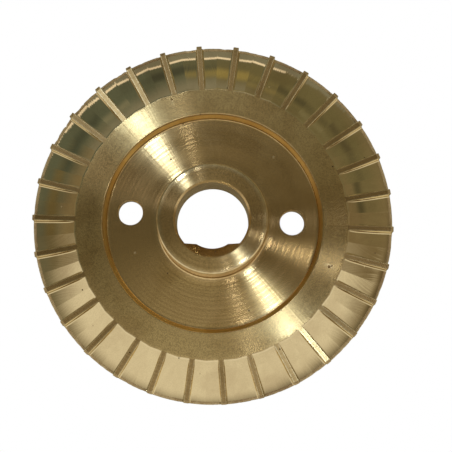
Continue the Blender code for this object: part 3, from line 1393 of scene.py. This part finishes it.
@dataclass(frozen=True)
class BrassFinish:
    """One finish of the brass. What isn't given is that of a turned face.

    Attributes:
        name: The material's name.
        clean: The colour of the clean metal, as linear red, green and blue.
        dull: The colour where it is tarnished.
        edge: The colour of rubbed edges and nicks.
        specks: The colour of dirt and of the grain.
        path: Which way the tool went.
        roughness: How rough it is.
        roughness_swing: How much the tool marks change that.
        anisotropy: How much the tool's fine grooves stretch a highlight.
        mark_turn: The way that they stretch it, in turns from the tangent.
        mark_pitch: The distance between the marks, in millimetres.
        mark_length: The length of one mark, in millimetres.
        mark_depth: The depth of the marks, in millimetres.
        mark_circle: The radius at which a mark's length is measured, in millimetres.
        ray_slope: The slope of the rays on a turned face.
        grain: How strong the fine dark grain is.
        dull_cover: How much of the face is tarnished.
        speck_rarity: The share of the small cells that hold no dirt.
        nick_rarity: The share of the cells that hold no nick.
        streak_range: The range of the broader marks' noise over which they dull the colour.
        streak_share: How much they dull it.
        swing_range: The range of that noise over which they change the roughness.
        speck_roughness: How much rougher a speck is.
        nick_roughness: How much rougher a nick is.
    """

    name: str
    clean: Rgb = (0.84, 0.65, 0.36)
    dull: Rgb = (0.68, 0.50, 0.25)
    edge: Rgb = (0.90, 0.78, 0.52)
    specks: Rgb = (0.12, 0.08, 0.04)
    path: MarkPath = MarkPath.LATHE
    roughness: float = 0.128
    roughness_swing: float = 0.015
    anisotropy: float = 1.0
    mark_turn: float = 0.25
    mark_pitch: float = 0.55
    mark_length: float = 90.0
    mark_depth: float = 0.0125
    mark_circle: float = 25.0
    ray_slope: float = 0.0
    grain: float = 0.2
    dull_cover: float = 0.5
    speck_rarity: float = 0.997
    nick_rarity: float = 0.9985
    streak_range: tuple[float, float] = (0.35, 0.65)
    streak_share: float = 0.35
    swing_range: tuple[float, float] = (0.3, 0.7)
    speck_roughness: float = 0.3
    nick_roughness: float = 0.5

    def build(self, effects: EffectLibrary) -> bpy.types.Material:
        """Builds the material.

        Args:
            effects: The shared effects.

        Returns:
            The material.
        """
        material, graph, shader = new_material(self.name)
        position = graph.add("ShaderNodeTexCoord").outputs["Object"]
        place = self.polar(graph, position)
        path = dict(zip(("Along", "Across", "Seed"), self.path_sockets(graph, place)))
        lengths = {"Pitch": self.mark_pitch, "Length": self.mark_length}
        marks = effects.place(graph, Effect.TOOL_MARKS, **path, **lengths)
        dots = {"specks": (SPECK_SCALE, self.speck_rarity), "nicks": (NICK_SCALE, self.nick_rarity)}
        masks = {}
        for name, (scale, rarity) in dots.items():
            dot = effects.place(graph, Effect.SPECKS, Position=position, Scale=scale, Rarity=rarity)
            masks[name] = dot.outputs["Mask"]
        streak = marks.outputs["Streak"]
        graph.feed(shader.inputs["Base Color"], self.colour(graph, effects, position, streak, masks))
        rough = graph.rescale(streak, *self.swing_range, -self.roughness_swing, self.roughness_swing)
        rough = graph.math("ADD", rough, self.roughness)
        for name, rougher in (("specks", self.speck_roughness), ("nicks", self.nick_roughness)):
            rough = graph.math("ADD", rough, graph.math("MULTIPLY", masks[name], rougher))
        graph.feed(shader.inputs["Roughness"], rough)
        shader.inputs["Metallic"].default_value = 1.0
        shader.inputs["Anisotropic"].default_value = self.anisotropy
        shader.inputs["Anisotropic Rotation"].default_value = self.mark_turn
        tangent = graph.add("ShaderNodeTangent", direction_type="RADIAL", axis="Z")
        graph.feed(shader.inputs["Tangent"], tangent.outputs[0])
        rays = effects.place(graph, Effect.CHATTER, Turn=place["turn"], Radius=place["radius"])
        height = graph.math("MULTIPLY", marks.outputs["Height"], self.mark_depth)
        height = graph.math("ADD", height, graph.math("MULTIPLY", rays.outputs["Height"], self.ray_slope))
        bump = graph.add("ShaderNodeBump")
        bump.inputs["Strength"].default_value = 1.0
        bump.inputs["Distance"].default_value = MM
        graph.feed(bump.inputs["Height"], height)
        graph.feed(shader.inputs["Normal"], bump.outputs[0])
        return material

    def colour(
        self,
        graph: Graph,
        effects: EffectLibrary,
        position: bpy.types.NodeSocket,
        streak: bpy.types.NodeSocket,
        masks: dict[str, bpy.types.NodeSocket],
    ) -> bpy.types.NodeSocket:
        """Mixes the finish's colours.

        Args:
            graph: The material's graph.
            effects: The shared effects.
            position: The point, in metres.
            streak: The broader of the tool's marks.
            masks: Where the specks and the nicks are.

        Returns:
            The colour's socket.
        """
        shades = (self.clean, self.dull, self.edge, self.specks)
        clean, dull, edge, dark = ((*shade, 1.0) for shade in shades)
        tarnish = effects.place(
            graph, Effect.BLOTCHES, Position=position, Scale=TARNISH_SCALE, Cover=self.dull_cover
        )
        grain = effects.place(graph, Effect.BLOTCHES, Position=position, Scale=GRAIN_SCALE, Cover=0.5)
        wear = graph.add("ShaderNodeAttribute", attribute_name="wear").outputs["Fac"]
        rubbed = effects.place(graph, Effect.WORN_EDGE, Edge=wear, Position=position)
        shade = graph.mix(tarnish.outputs["Mask"], clean, dull)
        shade = graph.mix(graph.math("MULTIPLY", grain.outputs["Mask"], self.grain), shade, dark)
        streaked = graph.rescale(streak, *self.streak_range, 0.0, self.streak_share)
        shade = graph.mix(streaked, shade, dull)
        shade = graph.mix(rubbed.outputs["Mask"], shade, edge)
        shade = graph.mix(masks["nicks"], shade, edge)
        return graph.mix(masks["specks"], shade, dark)

    @staticmethod
    def polar(graph: Graph, position: bpy.types.NodeSocket) -> dict[str, bpy.types.NodeSocket]:
        """Works out where a point is round the axis.

        Args:
            graph: The material's graph.
            position: The point, in metres.

        Returns:
            The sockets for the turn in radians, and the radius and height in millimetres, by name.
        """
        x, y, z = graph.split(position)
        squares = graph.math("ADD", graph.math("MULTIPLY", x, x), graph.math("MULTIPLY", y, y))
        radius = graph.math("MULTIPLY", graph.math("SQRT", squares), 1.0 / MM)
        height = graph.math("MULTIPLY", z, 1.0 / MM)
        return {"turn": graph.math("ARCTAN2", y, x), "radius": radius, "height": height}

    def path_sockets(
        self, graph: Graph, place: dict[str, bpy.types.NodeSocket]
    ) -> list[bpy.types.NodeSocket]:
        """Works out how far along and across the tool's path a point is.

        Args:
            graph: The material's graph.
            place: The point's turn, radius and height.

        Returns:
            The distance along in millimetres, the distance across, and the pass's seed.
        """
        if self.path is MarkPath.MILL:
            carried = graph.add("ShaderNodeAttribute", attribute_name="tool_path")
            return graph.split(carried.outputs["Vector"])
        across = graph.math("ADD", place["radius"], place["height"])
        along_x = graph.math("MULTIPLY", graph.math("COSINE", place["turn"]), self.mark_circle)
        short_circle = self.mark_circle / self.mark_length
        along_y = graph.math("MULTIPLY", graph.math("SINE", place["turn"]), short_circle)
        return [along_x, across, along_y]


# The wheel


@dataclass
class Wheel:
    """The whole wheel as one piece, which stands for the CAD node."""

    sizes: WheelSizes
    edges: EdgeSizes = EdgeSizes()
    name: str = "brass_wheel"
    node: str = "impeller"

    def shape(self, effects: EffectLibrary) -> bpy.types.Object:
        """Builds the wheel's mesh.

        Args:
            effects: The shared effects.

        Returns:
            The wheel, with its holes cut and its edges marked sharp or smooth.
        """
        sketch = Sketch()
        lips = BladeRing(self.sizes, self.edges).build(sketch)
        TurnedDisc(self.sizes, self.edges).build(sketch, *lips)
        wheel = sketch.build(self.name)
        looks = self.finishes()
        for finish in Finish:
            wheel.data.materials.append(looks[finish].build(effects))
        Bore(self.sizes, self.edges).cut(wheel)
        wheel.data.shade_smooth()
        wheel.data.set_sharp_from_angle(angle=math.radians(SHARP_DEG))
        return wheel

    @staticmethod
    def finishes() -> dict[Finish, BrassFinish]:
        """Lists the looks.

        Returns:
            The look of each finish.
        """
        milled = BrassFinish(
            name="milled_brass",
            clean=(0.86, 0.74, 0.47),
            dull=(0.70, 0.58, 0.36),
            path=MarkPath.MILL,
            roughness=0.05,
            anisotropy=0.0,
            mark_turn=0.0,
            mark_pitch=0.35,
            mark_length=14.0,
            mark_depth=0.004,
            grain=0.08,
            dull_cover=0.45,
            speck_rarity=0.996,
            nick_rarity=0.994,
        )
        return {
            Finish.TURNED: BrassFinish(name="turned_brass", ray_slope=0.004, grain=0.3),
            Finish.MILLED: milled,
            Finish.BORED: BrassFinish(
                name="bored_brass",
                clean=(0.74, 0.58, 0.34),
                dull=(0.52, 0.38, 0.20),
                roughness=0.3,
                roughness_swing=0.06,
                anisotropy=0.6,
                mark_pitch=0.3,
                mark_length=25.0,
                mark_depth=0.006,
                grain=0.3,
            ),
            Finish.BROKEN: replace(
                milled,
                name="broken_edge_brass",
                clean=(0.70, 0.56, 0.34),
                dull=(0.48, 0.34, 0.20),
                roughness=0.6,
                roughness_swing=0.1,
                mark_pitch=0.3,
                mark_length=0.8,
                mark_depth=0.03,
                speck_rarity=0.985,
            ),
            Finish.LAND: BrassFinish(
                name="blade_top_brass",
                clean=(0.68, 0.50, 0.26),
                dull=(0.50, 0.355, 0.17),
                roughness=0.21,
                anisotropy=0.95,
                mark_depth=0.012,
                speck_rarity=0.99,
            ),
            Finish.RING: BrassFinish(
                name="ring_face_brass",
                clean=(0.90, 0.73, 0.40),
                dull=(0.72, 0.55, 0.28),
                roughness=0.158,
                mark_depth=0.006,
                ray_slope=0.003,
                grain=0.36,
            ),
            # The wall's clean and dull colours are lighter and more orange than the turned brass: a painted
            # reflection of the brass recess floor, on top of its real rougher finish.
            Finish.WALL: BrassFinish(
                name="wall_brass_painted_reflection",
                clean=(1.0, 0.80, 0.42),
                dull=(0.94, 0.70, 0.32),
                roughness=0.37,
                roughness_swing=0.04,
                anisotropy=0.0,
                mark_depth=0.004,
                grain=0.1,
            ),
        }

    def build(self, effects: EffectLibrary) -> bpy.types.Object:
        """Builds and dresses the wheel, and has it stand for the CAD node.

        Args:
            effects: The shared effects.

        Returns:
            The finished piece.
        """
        wheel = self.shape(effects)
        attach(wheel, "root")
        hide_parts(self.node)
        LOG.info("%s: %d points, %d faces", wheel.name, len(wheel.data.vertices), len(wheel.data.polygons))
        return wheel


# Studio


def toward(turn_deg: float, lean_deg: float) -> Vector:
    """Returns the direction that is turned from +X round the axis and leans away from overhead."""
    turn, lean = math.radians(turn_deg), math.radians(lean_deg)
    return Vector((math.sin(lean) * math.cos(turn), math.sin(lean) * math.sin(turn), math.cos(lean)))


@dataclass(frozen=True)
class SoftLight:
    """A soft box that faces the wheel, placed by its direction from the wheel's middle.

    Attributes:
        name: The light's name.
        turn_deg: Its direction round the axis, anticlockwise from +X.
        lean_deg: Its angle away from straight overhead.
        width: Its width along the circle round the axis, in metres.
        height: Its other side, in metres.
        radiance: How bright its face is, where 1 is white.
        colour: Its colour.
        distance: How far it is from the wheel, in metres.
    """

    name: str
    turn_deg: float
    lean_deg: float
    width: float
    height: float
    radiance: float
    colour: Rgb = (1.0, 1.0, 1.0)
    distance: float = 1.0

    def build(self) -> bpy.types.Object:
        """Adds the light to the scene.

        Returns:
            The light's object.
        """
        lamp = bpy.data.lights.new(self.name, "AREA")
        lamp.shape = "RECTANGLE"
        lamp.size = self.width
        lamp.size_y = self.height
        lamp.color = self.colour
        lamp.energy = self.radiance * math.pi * self.width * self.height
        item = add_object(self.name, lamp)
        away = toward(self.turn_deg, self.lean_deg)
        item.location = away * self.distance
        item.rotation_mode = "QUATERNION"
        item.rotation_quaternion = away.to_track_quat("Z", "Y")
        return item


@dataclass(frozen=True)
class Camera:
    """The photograph's camera, as fitted to the wheel's circles and blades.

    Attributes:
        distance: From the camera to the axis at the ring's front face, in metres.
        lean_deg: How far the camera is below the wheel's axis in the picture.
        swing_deg: How far it is to the right of it.
        focal_pixels: The focal length in pixels of the picture.
        image_pixels: The picture's width and height.
        axis_pixel: Where the axis meets the ring's front face in the picture.
        sensor_mm: The width of the camera's sensor.
        clip_start: The nearest distance that it sees, in metres.
    """

    distance: float = 0.265
    lean_deg: float = 6.874
    swing_deg: float = 0.728
    focal_pixels: float = 1200.5
    image_pixels: float = 452.0
    axis_pixel: tuple[float, float] = (212.5, 222.1)
    sensor_mm: float = 36.0
    clip_start: float = 0.01

    def build(self, target: Vector) -> bpy.types.Object:
        """Adds the camera and makes it the scene's own.

        Args:
            target: The point of the axis at the ring's front face.

        Returns:
            The camera.
        """
        x = math.sin(math.radians(self.swing_deg))
        y = -math.sin(math.radians(self.lean_deg))
        back = Vector((x, y, math.sqrt(1.0 - x * x - y * y)))
        right = Vector((0.0, 1.0, 0.0)).cross(back).normalized()
        up = back.cross(right)
        data = bpy.data.cameras.new("camera")
        data.sensor_width = self.sensor_mm
        data.lens = self.focal_pixels / self.image_pixels * self.sensor_mm
        data.shift_x = 0.5 - self.axis_pixel[0] / self.image_pixels
        data.shift_y = self.axis_pixel[1] / self.image_pixels - 0.5
        data.clip_start = self.clip_start
        item = add_object("camera", data)
        item.rotation_mode = "QUATERNION"
        item.rotation_quaternion = Matrix((right, up, back)).transposed().to_quaternion()
        item.location = target + back * self.distance
        bpy.context.scene.camera = item
        return item


@dataclass(frozen=True)
class Cap:
    """A round patch of the room, seen from the wheel.

    Attributes:
        turn_deg: The direction of its middle round the axis, anticlockwise from +X.
        lean_deg: The angle of its middle away from straight overhead.
        radius_deg: How far it reaches from its middle.
        soft_deg: How wide its soft border is, on either side of that.
    """

    turn_deg: float
    lean_deg: float
    radius_deg: float
    soft_deg: float

    def mask(self, graph: Graph, direction: bpy.types.NodeSocket) -> bpy.types.NodeSocket:
        """Adds nodes for the patch.

        Args:
            graph: The room's graph.
            direction: The direction looked at.

        Returns:
            A value that is 1 within the patch and 0 outside it.
        """
        dot = graph.add("ShaderNodeVectorMath", operation="DOT_PRODUCT")
        graph.feed(dot.inputs[0], direction)
        graph.feed(dot.inputs[1], toward(self.turn_deg, self.lean_deg))
        angle = graph.math("ARCCOSINE", dot.outputs["Value"])
        low = math.radians(self.radius_deg - self.soft_deg)
        return graph.rescale(angle, low, math.radians(self.radius_deg + self.soft_deg), 1.0, 0.0)


@dataclass(frozen=True)
class RoomPatch:
    """A lighter or darker part of the room: a cap, less a hole in it, and only within another cap."""

    name: str
    colour: Rgb
    cap: Cap
    hole: Cap | None = None
    within: Cap | None = None

    def paint(self, graph: Graph, direction: bpy.types.NodeSocket, under: object) -> bpy.types.NodeSocket:
        """Paints the patch over what is there.

        Args:
            graph: The room's graph.
            direction: The direction looked at.
            under: The colour under the patch.

        Returns:
            The colour with the patch on it.
        """
        mask = self.cap.mask(graph, direction)
        if self.hole:
            outside = graph.math("SUBTRACT", 1.0, self.hole.mask(graph, direction))
            mask = graph.math("MULTIPLY", mask, outside)
        if self.within:
            mask = graph.math("MULTIPLY", mask, self.within.mask(graph, direction))
        painted = graph.mix(mask, under, (*self.colour, 1.0))
        painted.node.label = self.name
        return painted


@dataclass(frozen=True)
class Studio:
    """The pale floor, the room's soft light and the lamps.

    The patches are painted in turn, so a later one covers an earlier one. Their places are those from
    which the wheel's faces and pockets mirror them towards the camera.
    """

    floor_size: float = 6.0
    floor_roughness: float = 0.7
    floor_shade: Rgb = (0.2, 0.18, 0.15)
    floor_glow: Rgb = (0.17, 0.15, 0.09)
    wall: Rgb = (0.9, 0.9, 0.9)
    room: Rgb = (0.225, 0.175, 0.1)
    patches: tuple[RoomPatch, ...] = (
        RoomPatch("pale_wall", (0.25, 0.235, 0.185), Cap(110.0, 80.0, 34.0, 12.0)),
        RoomPatch("dark_corner", (0.115, 0.128, 0.095), Cap(124.0, 36.0, 28.0, 14.0)),
        RoomPatch("warm_corner", (0.16, 0.14, 0.075), Cap(55.0, 48.0, 28.0, 12.0)),
        RoomPatch("gold_corner", (0.30, 0.245, 0.10), Cap(86.0, 50.0, 7.0, 5.0)),
        RoomPatch("gold_shelf", (0.25, 0.205, 0.10), Cap(70.0, 60.0, 4.0, 4.0)),
        RoomPatch("door", (0.092, 0.083, 0.048), Cap(60.0, 50.0, 5.0, 5.0)),
        RoomPatch("shelf", (0.105, 0.09, 0.052), Cap(39.0, 44.0, 5.0, 5.0)),
        RoomPatch("picture", (0.23, 0.205, 0.125), Cap(48.0, 62.0, 4.0, 5.0)),
        RoomPatch("chair", (0.10, 0.088, 0.05), Cap(18.0, 50.0, 5.0, 5.0)),
        RoomPatch("cupboard", (0.072, 0.082, 0.062), Cap(141.0, 42.0, 7.0, 6.0)),
        RoomPatch("stool", (0.165, 0.13, 0.062), Cap(163.0, 36.0, 8.0, 6.0)),
        RoomPatch("lampshade", (0.21, 0.205, 0.15), Cap(127.0, 56.0, 5.0, 5.0)),
        RoomPatch("curtain", (0.075, 0.08, 0.06), Cap(104.0, 42.0, 6.0, 4.0)),
        RoomPatch("round_glow", (0.23, 0.22, 0.175), Cap(95.0, 17.0, 10.8, 1.5)),
        RoomPatch("overhead", (0.132, 0.108, 0.065), Cap(75.0, 2.0, 12.0, 4.0)),
        RoomPatch("left_shade", (0.095, 0.076, 0.042), Cap(138.0, 9.0, 4.0, 4.0)),
        RoomPatch("low_glow", (0.34, 0.293, 0.175), Cap(164.0, 2.1, 4.6, 2.4)),
        RoomPatch(
            "arch",
            (0.98, 0.86, 0.74),
            Cap(95.0, 17.0, 12.2, 0.7),
            hole=Cap(95.0, 17.0, 9.6, 0.7),
            within=Cap(116.0, 39.0, 26.0, 2.0),
        ),
        RoomPatch("front_wall", (0.76, 0.70, 0.59), Cap(268.0, 90.0, 82.0, 10.0)),
        RoomPatch("front_shade", (0.36, 0.31, 0.21), Cap(268.0, 136.0, 72.0, 8.0)),
        RoomPatch(
            "window_edge",
            (0.8, 0.74, 0.6),
            Cap(69.0, 96.1, 91.0, 2.5),
            hole=Cap(69.0, 96.1, 88.5, 2.5),
            within=Cap(350.0, 40.0, 24.0, 5.0),
        ),
    )
    lights: tuple[SoftLight, ...] = (
        SoftLight("upper_key", 112.6, 14.55, 0.022, 0.022, 46.0, (0.87, 0.98, 1.05)),
        SoftLight("lower_key", 5.6, 4.02, 0.018, 0.018, 58.0, (0.87, 0.98, 1.05)),
        SoftLight("upper_second", 101.4, 15.0, 0.015, 0.015, 10.0, (1.0, 1.0, 0.96)),
        SoftLight("lower_second", 333.5, 1.9, 0.015, 0.015, 12.0, (1.0, 1.0, 0.96)),
        SoftLight("side_lamp", 31.2, 7.98, 0.016, 0.016, 18.0, (1.0, 0.97, 0.9)),
        SoftLight("right_thin", 43.7, 10.1, 0.02, 0.02, 1.6),
    )

    def build(self) -> None:
        """Adds the floor, the room's light and the lamps."""
        self.build_floor()
        self.build_room()
        for light in self.lights:
            light.build()
            LOG.info("light %s", light.name)
        bpy.context.scene.view_settings.view_transform = "Standard"

    def build_floor(self) -> None:
        """Adds the pale floor. The camera sees it as a light table, and the brass mirrors it in shade."""
        bm = bmesh.new()
        bmesh.ops.create_grid(bm, x_segments=1, y_segments=1, size=self.floor_size / 2)
        mesh = bpy.data.meshes.new("floor")
        bm.to_mesh(mesh)
        bm.free()
        floor = add_object("floor", mesh)
        material, graph, shader = new_material("pale_floor")
        shader.inputs["Base Color"].default_value = (*self.floor_shade, 1.0)
        shader.inputs["Roughness"].default_value = self.floor_roughness
        shader.inputs["Emission Color"].default_value = (*self.floor_glow, 1.0)
        shader.inputs["Emission Strength"].default_value = 1.0
        glow = graph.add("ShaderNodeEmission")
        seen = graph.add("ShaderNodeLightPath").outputs["Is Camera Ray"]
        both = graph.add("ShaderNodeMixShader")
        graph.feed(both.inputs[0], seen)
        graph.feed(both.inputs[1], shader.outputs[0])
        graph.feed(both.inputs[2], glow.outputs[0])
        graph.feed(material.node_tree.nodes["Material Output"].inputs["Surface"], both.outputs[0])
        mesh.materials.append(material)

    def build_room(self) -> None:
        """Paints the room's light round the wheel. The camera itself sees a pale wall."""
        world = bpy.data.worlds.new("room")
        bpy.context.scene.world = world
        world.use_nodes = True
        graph = Graph(world.node_tree)
        direction = graph.add("ShaderNodeTexCoord").outputs["Generated"]
        shade: object = (*self.room, 1.0)
        for patch in self.patches:
            shade = patch.paint(graph, direction, shade)
        seen = graph.add("ShaderNodeLightPath").outputs["Is Camera Ray"]
        back = world.node_tree.nodes["Background"]
        graph.feed(back.inputs["Color"], graph.mix(seen, shade, (*self.wall, 1.0)))
        back.inputs["Strength"].default_value = 1.0


def corners(box: tuple[Vector, Vector]) -> list[list[float]]:
    """Returns a box's two corners as plain lists."""
    return [list(box[0]), list(box[1])]


def main() -> None:
    """Builds the wheel, the studio and the camera, and notes the sizes."""
    logging.basicConfig(level=logging.INFO, format="%(message)s")
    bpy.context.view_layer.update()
    sizes = WheelSizes.from_frame("impeller")
    LOG.info("wheel: radius %.1f mm, height %.1f mm", sizes.radius, sizes.boss_z)
    Wheel(sizes).build(EffectLibrary())
    Studio().build()
    Camera().build(Vector((0.0, 0.0, sizes.ring_thickness * MM)))


if __name__ == "__main__":
    main()
